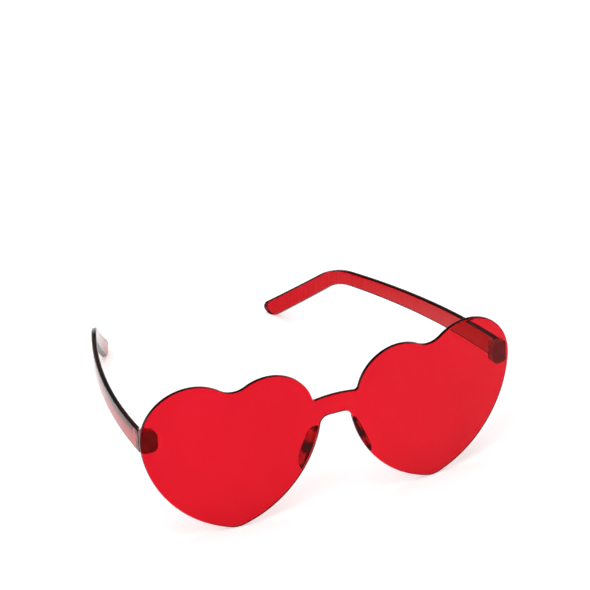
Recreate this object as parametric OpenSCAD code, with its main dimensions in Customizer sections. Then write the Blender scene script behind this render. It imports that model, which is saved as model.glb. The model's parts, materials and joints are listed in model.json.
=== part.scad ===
// Rimless heart shaped sunglasses: a one-piece double-heart front that curves to the face, two clear
// nose pads and two hinge blocks bonded behind it, and two bowed temples on steel hinge screws.
// Millimetres and degrees. Everything is drawn with the front upright, its front face at y = 0 on the
// centre line and the hearts' lowest points at z = 0, x to the wearer's left and y towards the ears.
// The last step leans the whole pair back until it stands on both heart tips and both temple tips.

/* [Hearts] */
// Distance of each heart's tip from the centre line
tip_x = 39.8; // [38:0.1:42]
// Radius of the rounded tip
tip_r = 8.8; // [6:0.1:11]
// Radius of the long curves that run up from the tip
side_r = 44.3; // [41:0.1:48]
// Distance of the outer lobe's centre from the centre line
outer_x = 54.9; // [53:0.1:57]
// Height of the outer lobe's centre
outer_z = 41.1; // [39:0.1:43]
// Radius of the outer lobe
outer_r = 19.1; // [17.5:0.1:20.5]
// Distance of the inner lobe's centre from the centre line
inner_x = 26; // [25:0.1:28]
// Height of the inner lobe's centre
inner_z = 41.1; // [40:0.1:43]
// Radius of the inner lobe
inner_r = 17.4; // [15.5:0.1:18.5]
// Radius of the hollow between the lobes
cleft_r = 8.5; // [6:0.1:12]

/* [Bridge and nose gap] */
// Height of the bridge's top edge on the centre line
bridge_top = 45.3; // [43.5:0.1:47]
// Radius of the bridge's arched top edge
bridge_arch_r = 48; // [30:1:120]
// Radius of the corner between the bridge and each inner lobe
brow_corner_r = 1.3; // [0.8:0.1:2.5]
// Height of the flat top of the nose gap
gap_top = 37.4; // [35.5:0.1:39]
// Radius of the nose gap's upper corners
gap_corner_r = 3.4; // [1.2:0.1:4]

/* [Lens] */
// Thickness of the front
lens_t = 1.6; // [1.4:0.1:2.2]
// Radius of the front's curve round the face, at its front face
lens_r = 445; // [300:5:700]

/* [Nose pads] */
// Step from the top of the nose gap down to the pads
pad_drop = 3.7; // [2.6:0.1:6]
// Height of a pad
pad_h = 16.5; // [12:0.1:18]
// How far the pads stand out behind the lens
pad_depth = 3.2; // [2.8:0.1:3.8]
// Length of the straight edge that rests on the nose
pad_flat = 10; // [6:0.1:11]
// Width of that edge
pad_edge = 1.2; // [0.8:0.1:1.8]
// Width of the pad's foot, which is bonded to the lens
pad_foot = 2.5; // [2:0.1:3.2]
// Angle by which the pads' faces towards the nose spread apart
pad_splay = 27; // [20:1:32]
// Step from the lens's cut edge in to the pad
pad_inset = 0.2; // [0.1:0.1:1]

/* [Hinge blocks] */
// Step from the front's outer edge in to the block
block_inset = 0.8; // [0.6:0.1:1.6]
// Width of the block
block_w = 6; // [5.4:0.1:7]
// Height of the block
block_h = 8.8; // [8:0.1:10]
// Height of the block's middle above the outer lobe's centre
block_rise = 0.1; // [0:0.05:1]
// How far the block stands out behind the lens at its outer side
block_depth = 2.2; // [1.2:0.1:3]
// Radius of the block's corners on its outer side, seen from the front
block_corner_r = 1.2; // [0.6:0.1:2]
// Radius of the block's rounder corners on its inner side
block_nose_r = 2.7; // [1.5:0.1:2.7]
// Step from the block's outer side in to the hinge axis
hinge_in = 3.3; // [3:0.1:3.5]
// Radius of the hinge knuckles
knuckle_r = 1.7; // [1.5:0.1:1.9]
// Height of the whole stack of three knuckles
hinge_h = 6.6; // [5.8:0.1:7.4]
// Height of the temple's knuckle, which sits between the block's two
knuckle_h = 2.8; // [2.2:0.1:3.4]

/* [Temples] */
// Thickness of a temple, seen from above
temple_t = 2; // [1.8:0.1:2.6]
// Angle by which a temple heads inwards from its hinge
temple_toe = 1.4; // [0:0.1:4]
// Radius of a temple's inward bow, seen from above
temple_bow_r = 261; // [220:1:400]
// Step from the block's middle down to the temple's middle at its front end
temple_drop = 0.9; // [0:0.05:1.2]
// Height of the temple's section at its front end
root_h = 8.8; // [8.2:0.1:9.6]
// Height of the section at the bend
bend_h = 5.9; // [5:0.1:7]
// Height of the section at the tip
tip_h = 6.3; // [5:0.1:7.5]
// Angle by which the temple slopes down towards the ear
temple_slope = 3.4; // [1:0.1:6]
// Length of the temple from its front end to the bend, along the wearer's head
bend_run = 88.3; // [80:0.1:98]
// Radius of the bend over the ear
bend_r = 22; // [16:1:30]
// Angle by which the tip slopes down behind the ear
tip_slope = 39.5; // [34:0.5:44]
// Length of the straight tip behind the bend
tip_l = 31; // [24:1:36]

/* [Hinge screws] */
// Radius of the screw's shank
screw_r = 0.6; // [0.5:0.05:0.7]
// Radius of the screw's head
screw_head_r = 1.1; // [1:0.05:1.2]
// Height of the screw's head
screw_head_h = 0.7; // [0.5:0.05:1]
// Width of the slot in the head
slot_w = 0.35; // [0.25:0.05:0.45]
// Depth of the slot in the head
slot_d = 0.3; // [0.2:0.05:0.4]
// How far the shank's end stops short of the lowest knuckle's underside
screw_short = 0.4; // [0.2:0.1:1]

/* [Clearances] */
// Gap between the open temple's end and the block
stop_gap = 0.3; // [0.25:0.05:0.5]
// Gap round the knuckles, between the block and the temple
knuckle_gap = 0.3; // [0.25:0.05:0.4]
// Gap above and below the temple's knuckle
washer_gap = 0.12; // [0.1:0.01:0.2]
// Running clearance of the temple's knuckle on the screw, as a radius
run_gap = 0.05; // [0.03:0.01:0.08]
// Clearance of the block's holes on the screw, as a radius
hole_gap = 0.02; // [0.01:0.01:0.05]
// Clearance round the screw's head in its counterbore
head_gap = 0.1; // [0.05:0.05:0.15]

/* [Hidden] */

// Overrun of every cut
over = 1;
// How far neighbouring curves run into each other where they blend, too little to see
blend = tip_r / 2000;
// Faces of small circles and of the large curves
round_faces = 180;
curve_faces = 720;

// A centre at distance da from point a and db from point b, on the side given by turn (1 or -1)
function meet(a, da, b, db, turn) =
    let (d = norm(b - a))
    let (along = (b - a) / d)
    let (t = (d * d + da * da - db * db) / (2 * d))
    a + t * along + turn * sqrt(da * da - t * t) * [-along[1], along[0]];

// The direction from one point to another
function towards(a, b) = (b - a) / norm(b - a);

// Centres of the circles that make one heart, seen from the front as [x, z]
tip_c = [tip_x, tip_r];
outer_c = [outer_x, outer_z];
inner_c = [inner_x, inner_z];
cleft_c = meet(inner_c, inner_r + cleft_r, outer_c, outer_r + cleft_r, 1);
side_c = meet(outer_c, side_r - outer_r, tip_c, side_r - tip_r, -1);
flank_c = [2 * tip_x - side_c[0], side_c[1]];

// Circles of the bridge's arch and of the corners beside it
arch_c = [0, bridge_top - bridge_arch_r];
brow_c = meet(arch_c, bridge_arch_r + brow_corner_r, inner_c, inner_r + brow_corner_r, 1);
gap_corner_z = gap_top - gap_corner_r;
gap_corner_x = flank_c[0] - sqrt(pow(side_r + gap_corner_r, 2) - pow(flank_c[1] - gap_corner_z, 2));
gap_c = [gap_corner_x, gap_corner_z];

bridge_h = bridge_top - gap_top;
bridge_reach = inner_x - inner_r / 2;
// Heights at which the side curve meets the tip's circle and the outer lobe
tip_join_z = tip_r + tip_r * towards(side_c, tip_c)[1];
lobe_join_z = outer_z + outer_r * towards(side_c, outer_c)[1];

// A pad seen from the side: the circle that rounds its ends, from its foot to its straight edge
pad_half = pad_h / 2;
pad_mid = gap_top - pad_drop - pad_half;
pad_end_y = (pow(pad_flat / 2, 2) + pow(pad_depth, 2) - pow(pad_half, 2)) / (2 * pad_depth);
pad_end_r = norm([pad_half, pad_end_y]);
lens_back_r = lens_r - lens_t;
pad_flank_r = side_r - pad_inset;

// Edges of the block and the depth of its rear face
block_out = outer_x + outer_r - block_inset;
block_in = block_out - block_w;
block_mid = outer_z + block_rise;
block_low = block_mid - block_h / 2;
block_high = block_mid + block_h / 2;
block_back = lens_r - sqrt(pow(lens_back_r, 2) - pow(block_out, 2)) + block_depth;
hinge_x = block_out - hinge_in;
hinge_y = block_back + knuckle_gap + knuckle_r;
root_y = block_back + stop_gap;
relief_r = knuckle_r + knuckle_gap;

// Middle of the temple's front end, flush with the block's outer side
temple_x = block_out - temple_t / 2;
temple_z = block_mid - temple_drop;
// Heights of the hinge's stack, level with the temple's middle
hinge_low = temple_z - hinge_h / 2;
hinge_high = temple_z + hinge_h / 2;
knuckle_low = temple_z - knuckle_h / 2;
knuckle_high = temple_z + knuckle_h / 2;
head_seat = hinge_high - screw_head_h;
// Centre of the temple's bow, seen from above
bow_c = [temple_x - temple_bow_r * cos(temple_toe), root_y - temple_bow_r * sin(temple_toe)];

// Temple seen from the side as [y, z]: the middle line, the bend and the tip
function slope_dir(a) = [cos(a), -sin(a)];
function slope_up(a) = [sin(a), cos(a)];
bend_start = [root_y + bend_run, temple_z - bend_run * tan(temple_slope)];
bend_c = bend_start - bend_r * slope_up(temple_slope);
bend_end = bend_c + bend_r * slope_up(tip_slope);
tip_end = bend_end + tip_l * slope_dir(tip_slope);
temple_reach = tip_end[0] + tip_h;

// The lean that sets the heart tips and the temple tips on one level
heart_foot_y = lens_r - sqrt(pow(lens_back_r, 2) - pow(tip_x, 2));
foot_run = tip_end[0] - heart_foot_y;
lean = atan2(tip_end[1], foot_run) - asin(tip_h / 2 / norm([foot_run, tip_end[1]]));
foot_drop = heart_foot_y * sin(lean);
// Foremost and rearmost reach once it leans, and the middle between them
flank_angles = [for (share = [0:0.05:1]) 180 + share * 60];
front_reach = min([for (a = flank_angles)
    let (p = flank_c + side_r * [cos(a), sin(a)])
    (lens_r - sqrt(pow(lens_r, 2) - pow(p[0], 2))) * cos(lean) + p[1] * sin(lean)]);
back_reach = tip_end[0] * cos(lean) + tip_end[1] * sin(lean) + tip_h / 2;
middle_y = (front_reach + back_reach) / 2;

// Stands the pair on its four feet, with the origin under the middle of its box
module stand() {
    translate([0, -middle_y, foot_drop])
        rotate([-lean, 0, 0])
            children();
}

// One side's pieces are drawn for the wearer's left and mirrored for the right
module side(right) {
    mirror([right ? 1 : 0, 0, 0])
        children();
}

// Turns a shape drawn as [x, z] into a slab between two depths
module slab(from_y, to_y) {
    translate([0, to_y, 0])
        rotate([90, 0, 0])
            linear_extrude(to_y - from_y)
                children();
}

// Turns a shape drawn as [y, z] into a bar between two distances from the centre line
module bar(from_x, to_x) {
    translate([from_x, 0, 0])
        rotate([90, 0, 90])
            linear_extrude(to_x - from_x)
                children();
}

// A disc with its centre at a point
module disc(centre, r, faces = round_faces) {
    translate(centre)
        circle(r, $fn = faces);
}

// Material in the corner between two curves, hollowed by a circle about c that touches both.
// Curve a comes before curve b going anticlockwise about c, and the fill reaches into both.
module corner_fill(c, r, a, b, reach) {
    difference() {
        polygon([c, c + (r + reach) * towards(c, a), c + (r + reach) * towards(c, b)]);
        disc(c, r + 2 * blend);
    }
}

// The space behind the lens, within the curve of its back face
module behind_lens() {
    translate([0, lens_r, -over])
        cylinder(r = lens_back_r, h = block_high + inner_r + 2 * over, $fn = curve_faces);
}

// One heart seen from the front: three circles, the long side curves and the hollow on top
module heart() {
    disc(tip_c, tip_r);
    disc(outer_c, outer_r);
    disc(inner_c, inner_r);
    intersection() {
        disc(side_c, side_r - blend, curve_faces);
        disc(flank_c, side_r - blend, curve_faces);
        translate([0, tip_join_z])
            square([outer_x + side_r, lobe_join_z - tip_join_z]);
    }
    corner_fill(cleft_c, cleft_r, inner_c, outer_c, inner_r / 2);
}

// The rounded corners beside the bridge, above and below it
module bridge_corners() {
    corner_fill(brow_c, brow_corner_r, arch_c, inner_c, bridge_h / 2);
    corner_fill(gap_c, gap_corner_r, flank_c, gap_c + [0, gap_corner_r], bridge_h / 2);
}

// The bridge with its arched top
module bridge() {
    intersection() {
        translate([-bridge_reach, gap_top])
            square([2 * bridge_reach, bridge_h]);
        disc(arch_c, bridge_arch_r, curve_faces);
    }
}

// The whole front seen from the front, both hearts in one piece with the bridge
module front_outline() {
    bridge();
    heart();
    bridge_corners();
    mirror([1, 0]) {
        heart();
        bridge_corners();
    }
}

// The front: both hearts and the bridge, cut from one curved sheet
module front_lens() {
    color("red")
        stand()
            intersection() {
                slab(-over, block_back)
                    front_outline();
                difference() {
                    translate([0, lens_r, -over])
                        cylinder(r = lens_r, h = block_high + inner_r + 2 * over, $fn = curve_faces);
                    translate([0, lens_r, -2 * over])
                        cylinder(r = lens_back_r, h = block_high + inner_r + 4 * over, $fn = curve_faces);
                }
            }
}

// A nose pad: a wedge that follows the nose gap's flank and narrows to the edge that rests on the nose
module nose_pad(right) {
    near_in = pad_depth * tan(pad_splay);
    far_in = near_in + pad_edge;
    color("firebrick")
        stand()
            side(right)
                intersection() {
                    translate([flank_c[0], 0, flank_c[1]])
                        rotate([-90, 0, 0])
                            rotate_extrude($fn = curve_faces)
                                polygon([
                                    [pad_flank_r, 0], [pad_flank_r, lens_t],
                                    [pad_flank_r - near_in, lens_t + pad_depth],
                                    [pad_flank_r - far_in, lens_t + pad_depth],
                                    [pad_flank_r - pad_foot, lens_t], [pad_flank_r - pad_foot, 0]
                                ]);
                    bar(0, tip_x)
                        disc([lens_t + pad_end_y, pad_mid], pad_end_r);
                    behind_lens();
                }
}

// The block seen from the front, rounder at its inner end
module block_outline() {
    translate([block_in, block_low + block_nose_r])
        square([block_w - block_corner_r, block_h - 2 * block_nose_r]);
    translate([block_in + block_nose_r, block_low])
        square([block_w - block_nose_r - block_corner_r, block_h]);
    translate([block_in + block_nose_r, block_low + block_corner_r])
        square([block_w - block_nose_r, block_h - 2 * block_corner_r]);
    for (z = [block_low + block_nose_r, block_high - block_nose_r])
        disc([block_in + block_nose_r, z], block_nose_r);
    for (z = [block_low + block_corner_r, block_high - block_corner_r])
        disc([block_out - block_corner_r, z], block_corner_r);
}

// A knuckle seen from above: its round end and the web that runs forward to the block
module lug() {
    disc([hinge_x, hinge_y], knuckle_r);
    translate([hinge_x - knuckle_r, block_back - over])
        square([2 * knuckle_r, hinge_y - block_back + over]);
}

// A hinge block, bonded behind the lens's outer edge, with an upper and a lower knuckle
module end_piece(right) {
    color("brown")
        stand()
            side(right)
                difference() {
                    intersection() {
                        union() {
                            slab(0, block_back)
                                block_outline();
                            translate([0, 0, hinge_low])
                                linear_extrude(knuckle_low - washer_gap - hinge_low)
                                    lug();
                            translate([0, 0, knuckle_high + washer_gap])
                                linear_extrude(hinge_high - knuckle_high - washer_gap)
                                    lug();
                        }
                        behind_lens();
                    }
                    translate([hinge_x, hinge_y, hinge_low - over])
                        cylinder(r = screw_r + hole_gap, h = hinge_h + 2 * over, $fn = round_faces);
                    translate([hinge_x, hinge_y, head_seat])
                        cylinder(r = screw_head_r + head_gap, h = screw_head_h + over, $fn = round_faces);
                }
}

// A temple seen from the side: it tapers to the bend, turns down and ends in a rounded tip
module temple_profile() {
    root_half = root_h / 2;
    bend_half = bend_h / 2;
    tip_half = tip_h / 2;
    under_start = bend_start - bend_half * slope_up(temple_slope);
    under_end = bend_end - bend_half * slope_up(tip_slope);
    difference() {
        union() {
            polygon([
                [root_y, temple_z - root_half], under_start,
                bend_start + bend_half * slope_up(temple_slope), [root_y, temple_z + root_half]
            ]);
            polygon([
                under_end, tip_end - tip_half * slope_up(tip_slope),
                tip_end + tip_half * slope_up(tip_slope), bend_end + bend_half * slope_up(tip_slope)
            ]);
            intersection() {
                disc(bend_c, bend_r + bend_half + blend);
                polygon([
                    bend_c, under_end, bend_end + bend_h * (slope_up(tip_slope) + slope_dir(tip_slope)),
                    bend_start + bend_h * (slope_up(temple_slope) - slope_dir(temple_slope)), under_start
                ]);
            }
            disc(tip_end, tip_half + blend);
        }
        disc(bend_c, bend_r - bend_half + blend);
    }
}

// The temple's knuckle seen from above, with a web that fairs into the temple's inner face
module temple_knuckle() {
    disc([hinge_x, hinge_y], knuckle_r);
    polygon([
        [hinge_x, root_y], [temple_x, root_y], [temple_x, hinge_y + 3 * knuckle_r],
        [temple_x - temple_t / 2, hinge_y + 3 * knuckle_r], [hinge_x, hinge_y + knuckle_r]
    ]);
}

// A tall wall that follows the temple's bow, as thick as the temple
module temple_bow() {
    translate([bow_c[0], bow_c[1], 0])
        difference() {
            cylinder(r = temple_bow_r + temple_t / 2, h = block_high + root_h, $fn = curve_faces);
            translate([0, 0, -over])
                cylinder(r = temple_bow_r - temple_t / 2, h = block_high + root_h + 2 * over, $fn = curve_faces);
        }
}

// A temple: one moulding, bowed seen from above and bent down behind the ear
module temple(right) {
    color("crimson")
        stand()
            side(right)
                difference() {
                    union() {
                        difference() {
                            intersection() {
                                temple_bow();
                                bar(0, temple_x + 2 * temple_t)
                                    temple_profile();
                            }
                            translate([hinge_x, hinge_y, 0])
                                cylinder(r = relief_r, h = block_high + root_h, $fn = round_faces);
                            translate([hinge_x - knuckle_r, root_y - over, 0])
                                cube([knuckle_r + relief_r, hinge_y - root_y + over, block_high + root_h]);
                        }
                        translate([0, 0, knuckle_low])
                            linear_extrude(knuckle_h)
                                temple_knuckle();
                    }
                    translate([hinge_x, hinge_y, hinge_low])
                        cylinder(r = screw_r + run_gap, h = hinge_h, $fn = round_faces);
                }
}

// A hinge screw: its slotted head sits in the upper knuckle's counterbore
module hinge_screw(right) {
    color("silver")
        stand()
            side(right)
                translate([hinge_x, hinge_y, 0])
                    difference() {
                        union() {
                            translate([0, 0, hinge_low + screw_short])
                                cylinder(r = screw_r, h = head_seat - hinge_low - screw_short, $fn = round_faces);
                            translate([0, 0, head_seat])
                                cylinder(r = screw_head_r, h = screw_head_h, $fn = round_faces);
                        }
                        translate([-screw_head_r - over, -slot_w / 2, hinge_high - slot_d])
                            cube([2 * screw_head_r + 2 * over, slot_w, slot_d + over]);
                    }
}

front_lens();
nose_pad(false);  // left_nose_pad
nose_pad(true);  // right_nose_pad
end_piece(false);  // left_end_piece
end_piece(true);  // right_end_piece
temple(false);  // left_temple
temple(true);  // right_temple
hinge_screw(false);  // left_hinge_screw
hinge_screw(true);  // right_hinge_screw
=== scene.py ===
import json
import math

import bmesh
import bpy
from mathutils import Matrix, Vector


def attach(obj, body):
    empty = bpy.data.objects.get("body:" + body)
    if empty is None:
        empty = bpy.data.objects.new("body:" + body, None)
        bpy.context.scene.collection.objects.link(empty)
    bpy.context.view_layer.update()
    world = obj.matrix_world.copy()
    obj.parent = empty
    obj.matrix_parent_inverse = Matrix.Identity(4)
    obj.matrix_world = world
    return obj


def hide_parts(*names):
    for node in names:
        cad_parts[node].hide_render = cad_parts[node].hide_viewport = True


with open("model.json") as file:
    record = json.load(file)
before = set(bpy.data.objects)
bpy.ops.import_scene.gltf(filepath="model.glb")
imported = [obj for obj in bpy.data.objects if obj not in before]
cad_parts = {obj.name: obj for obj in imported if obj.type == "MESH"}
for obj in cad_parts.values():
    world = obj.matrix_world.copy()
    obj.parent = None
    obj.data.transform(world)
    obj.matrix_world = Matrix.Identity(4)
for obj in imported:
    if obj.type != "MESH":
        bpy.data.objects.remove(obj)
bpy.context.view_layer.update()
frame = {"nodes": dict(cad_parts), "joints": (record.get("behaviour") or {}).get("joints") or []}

# The view: the photograph was taken with a long lens from above and to the wearer's right,
# so that the temples show behind the front and the table fills the whole picture.
view_from = (-0.429466, -0.948901, 0.648356)
view_right = Vector((0.903347, -0.428837, -0.007975))
view_up = Vector((0.219417, 0.446065, 0.867688))
view_back = view_right.cross(view_up)
view_axes = Matrix((view_right, view_up, view_back)).transposed()


def add_object(name, data):
    made = bpy.data.objects.new(name, data)
    bpy.context.scene.collection.objects.link(made)
    return made


camera_data = bpy.data.cameras.new("view")
camera_data.sensor_width = 36
camera_data.lens = 195.0
camera_data.clip_start = 0.05
camera = add_object("view", camera_data)
camera.matrix_world = Matrix.Translation(view_from) @ view_axes.to_4x4()
bpy.context.scene.camera = camera
bpy.context.scene.view_settings.view_transform = "Standard"

# The table: a white sweep that the pair stands on. It looks white to the camera, in the gloss and
# through the clear plastic, and still takes the faint shadow that the pair throws.
table_half, table_drop = 1.6, 0.0001
table_white = (0.82, 0.82, 0.82, 1)
table_shine = 0.4
table_mesh = bpy.data.meshes.new("table")
table_corners = [(x * table_half, y * table_half, 0) for x, y in ((-1, -1), (1, -1), (1, 1), (-1, 1))]
table_mesh.from_pydata(table_corners, [], [(0, 1, 2, 3)])
table = add_object("table", table_mesh)
table.location.z = -table_drop


def math_node(tree, operation, a, b=None, clamp=False):
    node = tree.nodes.new("ShaderNodeMath")
    node.operation = operation
    node.use_clamp = clamp
    for socket, value in zip(node.inputs, (a, b)):
        if isinstance(value, (int, float)):
            socket.default_value = value
        elif value is not None:
            tree.links.new(value, socket)
    return node.outputs[0]


white_table = bpy.data.materials.new("white_table")
white_table.use_nodes = True
tree = white_table.node_tree
tree.nodes.clear()
table_out = tree.nodes.new("ShaderNodeOutputMaterial")
table_sum = tree.nodes.new("ShaderNodeAddShader")
table_paint = tree.nodes.new("ShaderNodeBsdfDiffuse")
table_paint.inputs["Color"].default_value = table_white
table_glow = tree.nodes.new("ShaderNodeEmission")
table_ray = tree.nodes.new("ShaderNodeLightPath").outputs
table_sees = math_node(tree, "ADD", table_ray["Is Camera Ray"], table_ray["Is Glossy Ray"])
table_seen = math_node(tree, "ADD", table_sees, table_ray["Is Transmission Ray"], clamp=True)
table_level = math_node(tree, "MULTIPLY", table_seen, table_shine)
tree.links.new(table_level, table_glow.inputs["Strength"])
tree.links.new(table_paint.outputs[0], table_sum.inputs[0])
tree.links.new(table_glow.outputs[0], table_sum.inputs[1])
tree.links.new(table_sum.outputs[0], table_out.inputs["Surface"])
table_mesh.materials.append(white_table)

# The light: a room that is white up to just above the table's rim and dim overhead, one wide soft
# box straight above and a smaller one high in front on the left. A white card renders white.
white_below, dim_above = 0.1, 0.32
wall_white, ceiling_dim = 1.0, 0.12


def map_range(tree, value, from_min, from_max, to_min, to_max):
    node = tree.nodes.new("ShaderNodeMapRange")
    node.interpolation_type = "SMOOTHSTEP"
    for socket, number in zip(node.inputs[1:5], (from_min, from_max, to_min, to_max)):
        socket.default_value = number
    tree.links.new(value, node.inputs["Value"])
    return node.outputs[0]


room = bpy.data.worlds.new("room")
bpy.context.scene.world = room
room.use_nodes = True
tree = room.node_tree
room_wall = tree.nodes["Background"]
room_wall.inputs["Color"].default_value = (1, 1, 1, 1)
room_place = tree.nodes.new("ShaderNodeTexCoord")
room_split = tree.nodes.new("ShaderNodeSeparateXYZ")
tree.links.new(room_place.outputs["Generated"], room_split.inputs[0])
room_level = map_range(tree, room_split.outputs["Z"], white_below, dim_above, wall_white, ceiling_dim)
tree.links.new(room_level, room_wall.inputs["Strength"])


def soft_box(name, place, size, power):
    lamp_data = bpy.data.lights.new(name, "AREA")
    lamp_data.shape = "RECTANGLE"
    lamp_data.size, lamp_data.size_y = size
    lamp_data.energy = power
    lamp = add_object(name, lamp_data)
    lamp.location = place
    lamp.rotation_euler = (-Vector(place)).to_track_quat("-Z", "Y").to_euler()


soft_box("soft_box_above", place=(0, 0, 1.5), size=(1.5, 1.3), power=17)
soft_box("soft_box_left", place=(-1.1, -0.7, 1.2), size=(1.0, 1.0), power=9)

# How the pair stands: everything is drawn upright and leans back onto the temple tips, by the
# angle and to the place that the hinge axis shows.
hinge = next(j for j in frame["joints"] if j["name"] == "left_temple_fold")
lean_sin, lean_cos = hinge["axis"][1], hinge["axis"][2]
hinge_drawn = Vector((0.0699, 0.011884, 0.0403))
lean = Matrix(((1, 0, 0), (0, lean_cos, lean_sin), (0, -lean_sin, lean_cos)))
stand = Matrix.Translation(Vector(hinge["pos_m"]) - lean @ hinge_drawn) @ lean.to_4x4()

# The front: one sheet of clear red plastic, cut as two hearts and a bridge and curved to the
# face. Its cut edge is polished to a small round, and the light that it gathers dies there; that
# dark edge is painted shade in the plastic's colour.
MM = 0.001
front_radius = 445 * MM
front_thickness = 1.6 * MM
rim_round = 0.35 * MM
rim_insets = [v * MM for v in (3, 1.6, 0.8)]
round_steps = [math.radians(a) for a in (0, 22.5, 45, 67.5, 90)]
side_step, corner_step, gap_step, brow_step = (v * MM for v in (0.7, 0.35, 0.3, 0.2))
bend_step, bends_each_way, same_point = 2 * MM, 36, 1e-7
tip_r, side_r, outer_r, inner_r, cleft_r = (v * MM for v in (8.8, 44.3, 19.1, 17.4, 8.5))
brow_r, gap_r, arch_r = (v * MM for v in (1.3, 3.4, 48))
gap_top, bridge_top = 37.4 * MM, 45.3 * MM
tip_c = Vector((39.8, 8.8)) * MM
outer_c = Vector((54.9, 41.1)) * MM
inner_c = Vector((26, 41.1)) * MM
arch_c = Vector((0, bridge_top - arch_r))


def meet(a, da, b, db, turn):
    """The point at the given distances from two others, on the side that turn says."""
    along = (b - a).normalized()
    gap = (b - a).length
    t = (gap * gap + da * da - db * db) / (2 * gap)
    return a + t * along + turn * math.sqrt(da * da - t * t) * Vector((-along.y, along.x))


cleft_c = meet(inner_c, inner_r + cleft_r, outer_c, outer_r + cleft_r, 1)
side_c = meet(outer_c, side_r - outer_r, tip_c, side_r - tip_r, -1)
flank_c = Vector((2 * tip_c.x - side_c.x, side_c.y))
brow_c = meet(arch_c, arch_r + brow_r, inner_c, inner_r + brow_r, 1)
gap_c = Vector((0, gap_top - gap_r))
gap_c.x = flank_c.x - math.sqrt((side_r + gap_r) ** 2 - (flank_c.y - gap_top + gap_r) ** 2)


def angle_to(a, b):
    return math.atan2(b.y - a.y, b.x - a.x)


def arc(centre, radius, inset, start, end, step):
    count = max(2, round(abs(end - start) * radius / step))
    angles = (start + (end - start) * i / count for i in range(count))
    return [centre + (radius + inset) * Vector((math.cos(a), math.sin(a))) for a in angles]


def heart_half(inset):
    """The outline of the +X half, set in from the cut edge, anticlockwise from the nose gap's top."""
    turn = 2 * math.pi
    points = [Vector((0, gap_top + inset))]
    for centre, radius, way, start, end, step in (
            (gap_c, gap_r, 1, math.pi / 2, angle_to(gap_c, flank_c), gap_step),
            (flank_c, side_r, -1, angle_to(flank_c, gap_c) + turn, angle_to(flank_c, tip_c) + turn,
             side_step),
            (tip_c, tip_r, -1, angle_to(flank_c, tip_c), angle_to(side_c, tip_c), corner_step),
            (side_c, side_r, -1, angle_to(side_c, tip_c), angle_to(side_c, outer_c), side_step),
            (outer_c, outer_r, -1, angle_to(side_c, outer_c), angle_to(outer_c, cleft_c), side_step),
            (cleft_c, cleft_r, 1, angle_to(cleft_c, outer_c), angle_to(cleft_c, inner_c), corner_step),
            (inner_c, inner_r, -1, angle_to(inner_c, cleft_c), angle_to(inner_c, brow_c), side_step),
            (brow_c, brow_r, 1, angle_to(brow_c, inner_c), angle_to(brow_c, arch_c), brow_step),
            (arch_c, arch_r, -1, angle_to(arch_c, brow_c), math.pi / 2, side_step)):
        points += arc(centre, radius, way * inset, start, end, step)
    return points


def front_section():
    """Steps round the sheet's edge, from the front face to the back one, as inset and depth."""
    face = [(inset, 0) for inset in rim_insets]
    face += [(rim_round * (1 - math.sin(a)), rim_round * (1 - math.cos(a))) for a in round_steps]
    return face + [(inset, front_thickness - depth) for inset, depth in reversed(face)]


def skin_loops(loops):
    """A closed body through a row of closed loops with equal counts of points."""
    bm = bmesh.new()
    rows = [[bm.verts.new(point) for point in loop] for loop in loops]
    for row, after in zip(rows, rows[1:]):
        for i in range(len(row)):
            bm.faces.new((row[i - 1], after[i - 1], after[i], row[i]))
    bm.faces.new(rows[0])
    bm.faces.new(reversed(rows[-1]))
    bmesh.ops.recalc_face_normals(bm, faces=bm.faces[:])
    return bm


def to_mesh(bm, name):
    mesh = bpy.data.meshes.new(name)
    bm.to_mesh(mesh)
    bm.free()
    return mesh


def front_sheet():
    """The sheet is skinned flat, cut into upright strips and then curved round the face."""
    loops = []
    for inset, depth in front_section():
        half = heart_half(inset)
        mirrored = [Vector((-p.x, p.y)) for p in reversed(half[1:])]
        outline = half + [Vector((0, bridge_top - inset))] + mirrored
        loops.append([(p.x, depth, p.y) for p in outline])
    bm = skin_loops(loops)
    for bend in range(-bends_each_way, bends_each_way + 1):
        bmesh.ops.bisect_plane(bm, geom=bm.verts[:] + bm.edges[:] + bm.faces[:], dist=same_point,
                               plane_co=(bend * bend_step, 0, 0), plane_no=(1, 0, 0))
    for v in bm.verts:
        reach = front_radius - v.co.y
        v.co.y = front_radius - math.sqrt(reach * reach - v.co.x * v.co.x)
    mesh = to_mesh(bm, "front_sheet")
    mesh.shade_smooth()
    mesh.transform(stand)
    return mesh


def new_material(name):
    material = bpy.data.materials.new(name)
    material.use_nodes = True
    tree = material.node_tree
    return material, tree, tree.nodes["Principled BSDF"]


def new_group(name, inputs, outputs):
    group = bpy.data.node_groups.new(name, "ShaderNodeTree")
    for socket, kind in inputs:
        group.interface.new_socket(socket, in_out="INPUT", socket_type=kind)
    for socket, kind in outputs:
        group.interface.new_socket(socket, in_out="OUTPUT", socket_type=kind)
    return group, group.nodes.new("NodeGroupInput"), group.nodes.new("NodeGroupOutput")


def place_group(tree, group, socket, value):
    node = tree.nodes.new("ShaderNodeGroup")
    node.node_tree = group
    node.inputs[socket].default_value = value
    return node


def texture(tree, kind, place, values):
    """A noise or wave texture at the given place, with its sockets set by name."""
    node = tree.nodes.new("ShaderNodeTex" + kind)
    for socket, value in values.items():
        node.inputs[socket].default_value = value
    tree.links.new(place, node.inputs["Vector"])
    return node


def mix_colour(tree, factor, a, b):
    node = tree.nodes.new("ShaderNodeMix")
    node.data_type = "RGBA"
    tree.links.new(factor, node.inputs["Factor"])
    for socket, value in ((node.inputs["A"], a), (node.inputs["B"], b)):
        if isinstance(value, tuple):
            socket.default_value = value + (1,)
        else:
            tree.links.new(value, socket)
    return node.outputs["Result"]


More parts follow.
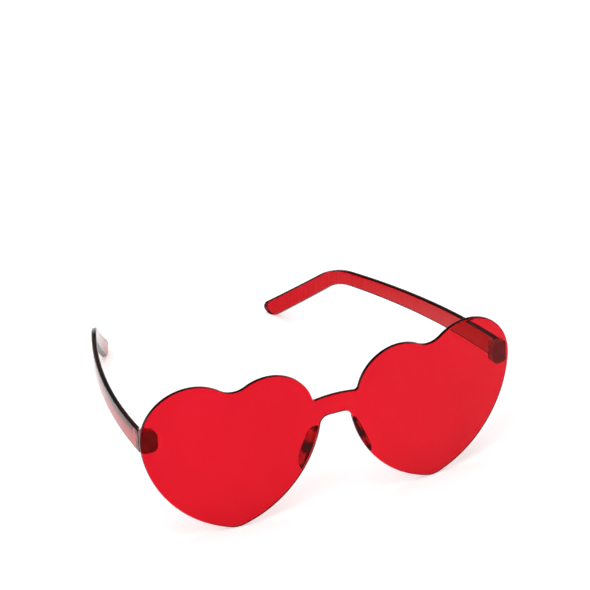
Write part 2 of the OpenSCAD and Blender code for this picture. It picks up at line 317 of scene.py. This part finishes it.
def cut_edge_group():
    """Where a sheet's cut edge is: the faces that stand across the given direction, which get painted shade.
    """
    edge_below, face_above = 0.45, 0.9
    group, given, out = new_group("cut_edge", [("Across", "NodeSocketVector")], [("Edge", "NodeSocketFloat")])
    place = group.nodes.new("ShaderNodeTexCoord")
    facing = group.nodes.new("ShaderNodeVectorMath")
    facing.operation = "DOT_PRODUCT"
    group.links.new(place.outputs["Normal"], facing.inputs[0])
    group.links.new(given.outputs["Across"], facing.inputs[1])
    level = math_node(group, "ABSOLUTE", facing.outputs["Value"])
    group.links.new(map_range(group, level, edge_below, face_above, 1, 0), out.inputs["Edge"])
    return group


def flow_group():
    """How the plastic flowed into its mould: long soft streaks, and the faint smears of handling."""
    streak_band, smear_band = (0.3, 0.7), (0.45, 0.75)
    group, given, out = new_group(
        "mould_flow", [("Stretch", "NodeSocketVector")],
        [("Streak", "NodeSocketFloat"), ("Smear", "NodeSocketFloat")])
    place = group.nodes.new("ShaderNodeTexCoord")
    stretched = group.nodes.new("ShaderNodeVectorMath")
    stretched.operation = "MULTIPLY"
    group.links.new(place.outputs["Object"], stretched.inputs[0])
    group.links.new(given.outputs["Stretch"], stretched.inputs[1])
    streak = texture(group, "Noise", stretched.outputs[0], {"Scale": 1, "Detail": 3})
    smear = texture(group, "Noise", place.outputs["Object"], {"Scale": 90, "Detail": 5, "Distortion": 1.5})
    group.links.new(map_range(group, streak.outputs["Fac"], *streak_band, 0, 1), out.inputs["Streak"])
    group.links.new(map_range(group, smear.outputs["Fac"], *smear_band, 0, 1), out.inputs["Smear"])
    return group


cut_edge = cut_edge_group()
mould_flow = flow_group()
plastic_ior, ripple_depth = 1.5, 0.004 * MM
polished, smeared = 0.015, 0.07


def clear_plastic(name, dye_per_metre, across, stretch, streak_colour, edge_shade_colour, gloss,
                  shadow_colour):
    """Clear dyed plastic: polished outside, and it takes up green and blue light inside. Its cut edges get
    painted shade in the base colour.
    """
    material, tree, skin = new_material(name)
    skin.inputs["Transmission Weight"].default_value = 1
    skin.inputs["IOR"].default_value = plastic_ior
    skin.inputs["Specular Tint"].default_value = (gloss, gloss, gloss, 1)
    edge = place_group(tree, cut_edge, "Across", across)
    flow = place_group(tree, mould_flow, "Stretch", stretch)
    streaked = mix_colour(tree, flow.outputs["Streak"], streak_colour, (1.0, 1.0, 1.0))
    # The base colour is darkened on the cut edges: this is painted shade for the dark look of the edges.
    tone = mix_colour(tree, edge.outputs["Edge"], streaked, edge_shade_colour)
    tree.links.new(tone, skin.inputs["Base Color"])
    roughness = map_range(tree, flow.outputs["Smear"], 0, 1, polished, smeared)
    tree.links.new(roughness, skin.inputs["Roughness"])
    ripple = tree.nodes.new("ShaderNodeBump")
    ripple.inputs["Distance"].default_value = ripple_depth
    tree.links.new(flow.outputs["Streak"], ripple.inputs["Height"])
    tree.links.new(ripple.outputs[0], skin.inputs["Normal"])
    dye = tree.nodes.new("ShaderNodeVolumeAbsorption")
    strongest = max(dye_per_metre)
    dye.inputs["Color"].default_value = tuple(1 - v / strongest for v in dye_per_metre) + (1,)
    dye.inputs["Density"].default_value = strongest
    shadow = tree.nodes.new("ShaderNodeBsdfTransparent")
    shadow.inputs["Color"].default_value = shadow_colour + (1,)
    ray = tree.nodes.new("ShaderNodeLightPath")
    mix = tree.nodes.new("ShaderNodeMixShader")
    out = tree.nodes["Material Output"]
    tree.links.new(ray.outputs["Is Shadow Ray"], mix.inputs["Fac"])
    tree.links.new(skin.outputs[0], mix.inputs[1])
    tree.links.new(shadow.outputs[0], mix.inputs[2])
    tree.links.new(mix.outputs[0], out.inputs["Surface"])
    tree.links.new(dye.outputs[0], out.inputs["Volume"])
    return material


front_red = clear_plastic(
    "front_red", dye_per_metre=(200, 3040, 2295), across=(0, 1, 0), stretch=(30, 30, 12),
    streak_colour=(0.94, 0.86, 0.86), edge_shade_colour=(0.2, 0.06, 0.08), gloss=0.12,
    shadow_colour=(0.98, 0.88, 0.9))
sheet = add_object("front_sheet", front_sheet())
sheet.data.materials.append(front_red)
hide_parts("front_lens")
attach(sheet, "front")


# The nose pads: two crescents of clear pale red plastic, bonded behind the flanks of the nose gap.
# Each spreads away from the nose and thins out at its ends, with a rounded edge to rest on.
pad_foot, pad_edge, pad_depth, pad_height = (v * MM for v in (2.5, 1.2, 3.2, 16.5))
pad_inset, pad_drop, bond_gap = (v * MM for v in (0.2, 3.7, 0.01))
pad_spread = math.tan(math.radians(27)) * pad_depth
pad_middle = gap_top - pad_drop - pad_height / 2
pad_steps, pad_reach = 40, 0.985
pad_fullness, pad_taper, pad_least = 3.2, 0.6, 0.02
pad_corners = ((0, 0), (pad_foot, 0), (pad_spread + pad_edge, pad_depth), (pad_spread, pad_depth))
pad_corner_shares = (0.06, 0.06, 0.3, 0.4)


def rounded(corners, shares):
    """A closed outline with each corner rounded by a curve that starts a share of a side away."""
    points = []
    for i, corner in enumerate(corners):
        before = corner.lerp(corners[i - 1], shares[i])
        after = corner.lerp(corners[(i + 1) % len(corners)], shares[i])
        for t in (0, 0.25, 0.5, 0.75, 1):
            points.append(before.lerp(corner, t).lerp(corner.lerp(after, t), t))
    return points


def lens_back(x):
    """How deep the front's back face lies at a place across it."""
    return front_radius - math.sqrt((front_radius - front_thickness) ** 2 - x ** 2)


def nose_pad(side):
    section = rounded([Vector(corner) for corner in pad_corners], pad_corner_shares)
    loops = []
    for step in range(pad_steps + 1):
        along = -math.cos(math.pi * step / pad_steps)
        swell = max(pad_least, 1 - abs(along) ** pad_fullness) ** pad_taper
        height = pad_middle + pad_reach * along * pad_height / 2
        fall = math.asin((flank_c.y - height) / (side_r - pad_inset))
        inward = Vector((math.cos(fall), math.sin(fall)))
        loop = []
        for across, depth in section:
            at = flank_c - (side_r - pad_inset - across * swell) * inward
            loop.append((side * at.x, lens_back(at.x) + bond_gap + depth * swell, at.y))
        loops.append(loop)
    mesh = to_mesh(skin_loops(loops), "pad_form")
    mesh.shade_smooth()
    mesh.transform(stand)
    return mesh


def lay_over(material, level, colour):
    """Lays a second colour over a plastic's own, as strongly as the level says."""
    tree = material.node_tree
    base = tree.nodes["Principled BSDF"].inputs["Base Color"]
    tree.links.new(mix_colour(tree, level, base.links[0].from_socket, colour), base)


pad_red = clear_plastic(
    "pad_red", dye_per_metre=(150, 1500, 1300), across=(1, 0, 0), stretch=(200, 200, 400),
    streak_colour=(0.35, 0.3, 0.32), edge_shade_colour=(0.75, 0.6, 0.62), gloss=0.25,
    shadow_colour=(0.96, 0.8, 0.82))
blot_colour, blot_from, blot_to = (0.02, 0.04, 0.035), 0.1, 0.75
tree = pad_red.node_tree
pad_place = tree.nodes.new("ShaderNodeTexCoord").outputs["Object"]
blots = texture(tree, "Wave", pad_place, {
    "Scale": 38, "Distortion": 1.6, "Detail": 2, "Detail Scale": 9, "Phase Offset": -0.6})
blots.bands_direction = "Z"
lay_over(pad_red, map_range(tree, blots.outputs["Fac"], blot_from, blot_to, 1, 0), blot_colour)
for name, side in (("left", 1), ("right", -1)):
    pad = add_object(name + "_pad_form", nose_pad(side))
    pad.data.materials.append(pad_red)
    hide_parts(name + "_nose_pad")
    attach(pad, "front")


# The hinge blocks: small moulded blocks of the same red, dyed dense enough to look maroon, bonded
# behind the outer edges, each with an upper and a lower knuckle.
block_width, block_height, block_nose_r, block_corner_r = (v * MM for v in (6, 8.8, 2.7, 1.2))
block_round, block_rise, block_inset = (v * MM for v in (0.3, 0.1, 0.8))
knuckle_r, knuckle_height, hinge_height, hinge_gap, washer_gap = (v * MM for v in (1.7, 2.8, 6.6, 0.3, 0.12))
screw_hole_r, head_hole_r, head_height = (v * MM for v in (0.62, 1.2, 0.7))
block_corner_steps, knuckle_steps, sharp_angle = 8, 24, math.radians(32)
block_out = outer_c.x + outer_r - block_inset
block_in = block_out - block_width
block_middle = outer_c.y + block_rise
block_back = hinge_drawn.y - knuckle_r - hinge_gap
hinge_low = hinge_drawn.z - hinge_height / 2
hinge_high = hinge_drawn.z + hinge_height / 2
knuckle_low = hinge_drawn.z - knuckle_height / 2
knuckle_high = hinge_drawn.z + knuckle_height / 2


def prism(outline, low, high):
    return to_mesh(skin_loops([[(x, y, z) for x, y in outline] for z in (low, high)]), "prism")


def ring(centre, radius, count=48):
    angles = (2 * math.pi * i / count for i in range(count))
    return [(centre.x + radius * math.cos(a), centre.y + radius * math.sin(a)) for a in angles]


def half_knuckle(start):
    """Half of a knuckle's outline, anticlockwise from the angle given."""
    angles = (start + math.pi * i / knuckle_steps for i in range(knuckle_steps + 1))
    return [(hinge_drawn.x + knuckle_r * math.cos(a), hinge_drawn.y + knuckle_r * math.sin(a))
            for a in angles]


def combine(mesh, steps):
    """Joins meshes to a body and cuts others out of it, and returns the finished mesh."""
    body = add_object("body", mesh)
    tools = []
    for operation, tool_mesh in steps:
        tool = add_object("tool", tool_mesh)
        tools.append(tool)
        change = body.modifiers.new(operation, "BOOLEAN")
        change.operation = operation
        change.solver = "EXACT"
        change.object = tool
    seen = body.evaluated_get(bpy.context.evaluated_depsgraph_get())
    made = bpy.data.meshes.new_from_object(seen)
    for thing in tools + [body]:
        old = thing.data
        bpy.data.objects.remove(thing)
        bpy.data.meshes.remove(old)
    return made


def place_pair(mesh, name, material, nodes_end, bodies):
    """Sets a piece up on the wearer's left and its mirror image on the right."""
    mesh.shade_smooth()
    mesh.set_sharp_from_angle(angle=sharp_angle)
    for side, body in zip(("left", "right"), bodies):
        form = mesh.copy()
        if side == "right":
            form.transform(Matrix.Scale(-1, 4, (1, 0, 0)))
            form.flip_normals()
        form.transform(stand)
        form.materials.clear()
        form.materials.append(material)
        piece = add_object(side + "_" + name, form)
        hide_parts(side + "_" + nodes_end)
        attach(piece, body)
    bpy.data.meshes.remove(mesh)


def block_loop(inset, depth):
    """The block's outline, rounder at its inner end; its front follows the lens's back face."""
    points = []
    half = block_height / 2
    outer_x = block_out - block_corner_r
    inner_x = block_in + block_nose_r
    for radius, x, turn, up in ((block_corner_r, outer_x, -90, -1), (block_corner_r, outer_x, 0, 1),
                                (block_nose_r, inner_x, 90, 1), (block_nose_r, inner_x, 180, -1)):
        for step in range(block_corner_steps + 1):
            a = math.radians(turn + 90 * step / block_corner_steps)
            at_x = x + (radius - inset) * math.cos(a)
            at_z = block_middle + up * (half - radius) + (radius - inset) * math.sin(a)
            points.append((at_x, max(lens_back(at_x) + bond_gap, depth), at_z))
    return points


def block_body():
    rear = [(block_round * (1 - math.cos(a)), block_back - block_round * (1 - math.sin(a)))
            for a in round_steps]
    return to_mesh(skin_loops([block_loop(inset, depth) for inset, depth in [(0, 0)] + rear]), "block_body")


def lug(low, high):
    root = block_back - 2 * block_round
    foot = [(hinge_drawn.x - knuckle_r, root), (hinge_drawn.x + knuckle_r, root)]
    return prism(half_knuckle(0) + foot, low, high)


block_dark, block_light = (0.33, 0.035, 0.055), (0.48, 0.06, 0.09)
block_smooth, block_rough = 0.12, 0.3
block_red, tree, moulded = new_material("block_red")
moulded.inputs["Specular IOR Level"].default_value = 0.15
block_flow = place_group(tree, mould_flow, "Stretch", (250, 250, 250))
block_tone = mix_colour(tree, block_flow.outputs["Streak"], block_dark, block_light)
block_finish = map_range(tree, block_flow.outputs["Smear"], 0, 1, block_smooth, block_rough)
tree.links.new(block_tone, moulded.inputs["Base Color"])
tree.links.new(block_finish, moulded.inputs["Roughness"])

block = combine(block_body(), [
    ("UNION", lug(hinge_low, knuckle_low - washer_gap)),
    ("UNION", lug(knuckle_high + washer_gap, hinge_high)),
    ("DIFFERENCE", prism(ring(hinge_drawn, screw_hole_r), hinge_low - MM, hinge_high + MM)),
    ("DIFFERENCE", prism(ring(hinge_drawn, head_hole_r), hinge_high - head_height, hinge_high + MM))])
place_pair(block, "block_form", block_red, "end_piece", ("front", "front"))

# The temples: one clear red moulding each, bowed inwards and bent down behind the ear. Fine
# lines across the moulding show near the hinge, and the narrow edges are painted nearly black
# as shade.
temple_thickness, root_height, bend_height, tip_height = (v * MM for v in (2, 8.8, 5.9, 6.3))
bow_r, bend_run, bend_r, tip_length = (v * MM for v in (261, 88.3, 22, 31))
edge_round, root_round, knuckle_hole_r = (v * MM for v in (0.55, 0.3, 0.65))
toe, slope, tip_slope = (math.radians(v) for v in (1.4, 3.4, 39.5))
temple_x = block_out - temple_thickness / 2
root_y = hinge_drawn.y - knuckle_r
relief_r = knuckle_r + hinge_gap
bow_c = Vector((temple_x - bow_r * math.cos(toe), root_y - bow_r * math.sin(toe)))
web_back, web_end, web_share = root_y + 0.1 * MM, hinge_drawn.y + 3 * knuckle_r, 0.8
near_start, near_step, near_end = (v * MM for v in (0.5, 0.25, 4.3))
near_count, run_count, bend_count, tip_count = 15, 42, 14, 15
tip_turns = [math.radians(a) for a in (12, 24, 36, 46, 56, 64, 71, 77, 82, 86)]
temple_corner_steps, corner_share = 6, 0.45


def ahead(a):
    return Vector((math.cos(a), -math.sin(a)))


def upward(a):
    return Vector((math.sin(a), math.cos(a)))


def round_loss(radius, from_end):
    """How far a rounded end is drawn in at a distance from the very end."""
    return radius - math.sqrt(radius ** 2 - max(0, radius - from_end) ** 2)


def temple_course():
    """Stations along a temple, each as its top and bottom edge seen from the side and how far it
    is drawn in there."""
    root = Vector((root_y, hinge_drawn.z))
    start = root + bend_run * Vector((1, -math.tan(slope)))
    centre = start - bend_r * upward(slope)
    end = centre + bend_r * upward(tip_slope)
    tip = end + tip_length * ahead(tip_slope)
    half, tip_half = bend_height / 2, tip_height / 2
    root_top, root_low = root + Vector((0, root_height / 2)), root - Vector((0, root_height / 2))
    bend_top, bend_low = start + half * upward(slope), start - half * upward(slope)
    runs = [root_round * (1 - math.cos(a)) for a in round_steps]
    runs += [near_start + near_step * i for i in range(near_count)]
    runs += [near_end + (bend_run - near_end) * i / run_count for i in range(1, run_count + 1)]
    stations = []
    for run in runs:
        drawn_in = round_loss(root_round, run)
        top = root_top.lerp(bend_top, run / bend_run) - Vector((0, drawn_in))
        low = root_low.lerp(bend_low, run / bend_run) + Vector((0, drawn_in))
        stations.append((top, low, drawn_in))
    for i in range(1, bend_count + 1):
        a = slope + (tip_slope - slope) * i / bend_count
        stations.append((centre + (bend_r + half) * upward(a), centre + (bend_r - half) * upward(a), 0))
    up, on = upward(tip_slope), ahead(tip_slope)
    for i in range(1, tip_count + 1):
        top = (end + half * up).lerp(tip + tip_half * up, i / tip_count)
        low = (end - half * up).lerp(tip - tip_half * up, i / tip_count)
        stations.append((top, low, 0))
    for a in tip_turns:
        stations.append((tip + tip_half * (math.cos(a) * up + math.sin(a) * on),
                         tip + tip_half * (math.sin(a) * on - math.cos(a) * up),
                         round_loss(edge_round, tip_half * (1 - math.sin(a)))))
    return stations


def inner_face(y):
    """How far in from the wall's middle a temple reaches: less beside the block's knuckles."""
    beyond = y - hinge_drawn.y
    if beyond >= relief_r:
        return -temple_thickness / 2
    clear_x = hinge_drawn.x + (relief_r if beyond < 0 else math.sqrt(relief_r ** 2 - beyond ** 2))
    reach = math.hypot(clear_x - bow_c.x, y - bow_c.y) - bow_r
    return max(-temple_thickness / 2, reach)


def temple_loop(top, low, drawn_in):
    """The rounded section at one station, set out along the bow."""
    height = (top - low).length
    inner = inner_face((top.x + low.x) / 2) + drawn_in
    outer = temple_thickness / 2 - drawn_in
    corner = min(edge_round, corner_share * (outer - inner), corner_share * height)
    loop = []
    for x, z, turn in ((outer - corner, corner, -90), (outer - corner, height - corner, 0),
                       (inner + corner, height - corner, 90), (inner + corner, corner, 180)):
        for step in range(temple_corner_steps + 1):
            a = math.radians(turn + 90 * step / temple_corner_steps)
            radius = bow_r + (x + corner * math.cos(a))
            at = low.lerp(top, (z + corner * math.sin(a)) / height)
            loop.append((bow_c.x + math.sqrt(radius ** 2 - (at.x - bow_c.y) ** 2), at.x, at.y))
    return loop


def temple_knuckle():
    web_in = temple_x - web_share * temple_thickness / 2
    web = [(temple_x, web_back), (temple_x, web_end), (web_in, web_end)]
    return prism(half_knuckle(math.pi / 2) + web, knuckle_low, knuckle_high)


temple_red = clear_plastic(
    "temple_red", dye_per_metre=(250, 2600, 2050), across=(1, 0, 0), stretch=(300, 1500, 40),
    streak_colour=(0.9, 0.82, 0.9), edge_shade_colour=(0.12, 0.05, 0.08), gloss=0.05,
    shadow_colour=(0.98, 0.88, 0.9))
line_colour, line_band = (0.82, 0.74, 0.8), (0.15, 0.85)
lines_full_y, lines_gone_y = -0.055, -0.005
tree = temple_red.node_tree
temple_place = tree.nodes.new("ShaderNodeTexCoord").outputs["Object"]
temple_split = tree.nodes.new("ShaderNodeSeparateXYZ")
tree.links.new(temple_place, temple_split.inputs[0])
lines = texture(tree, "Wave", temple_place, {"Scale": 290, "Distortion": 5, "Detail": 3, "Detail Scale": 1.5})
lines.bands_direction = "Y"
near_root = map_range(tree, temple_split.outputs["Y"], lines_full_y, lines_gone_y, 1, 0)
line_level = math_node(tree, "MULTIPLY", map_range(tree, lines.outputs["Fac"], *line_band, 0, 1), near_root)
lay_over(temple_red, line_level, line_colour)

temple_loops = [temple_loop(*station) for station in temple_course()]
temple = combine(to_mesh(skin_loops(temple_loops), "temple_body"), [
    ("UNION", temple_knuckle()),
    ("DIFFERENCE", prism(ring(hinge_drawn, knuckle_hole_r), hinge_low, hinge_high))])
place_pair(temple, "temple_form", temple_red, "temple", ("left_temple", "right_temple"))

# The hinge screws: turned steel, with a slotted head in the upper knuckle's counterbore. The
# lathe leaves fine rings on them.
screw_round, screw_edge_angle = 0.06 * MM, math.radians(35)
steel_dark, steel_light = (0.52, 0.52, 0.54), (0.66, 0.66, 0.67)
steel_smooth, steel_rough = 0.22, 0.38
steel, tree, turned = new_material("turned_steel")
turned.inputs["Metallic"].default_value = 1
steel_place = tree.nodes.new("ShaderNodeTexCoord").outputs["Object"]
lathe = texture(tree, "Wave", steel_place, {"Scale": 2500, "Distortion": 0.6})
lathe.bands_direction = "Z"
ring_tone = mix_colour(tree, lathe.outputs["Fac"], steel_dark, steel_light)
ring_finish = map_range(tree, lathe.outputs["Fac"], 0, 1, steel_smooth, steel_rough)
tree.links.new(ring_tone, turned.inputs["Base Color"])
tree.links.new(ring_finish, turned.inputs["Roughness"])
for name in ("left_hinge_screw", "right_hinge_screw"):
    screw = frame["nodes"][name]
    screw.data.materials.clear()
    screw.data.materials.append(steel)
    rounding = screw.modifiers.new("edge_round", "BEVEL")
    rounding.width = screw_round
    rounding.segments = 3
    rounding.limit_method = "ANGLE"
    rounding.angle_limit = screw_edge_angle
    rounding.harden_normals = True
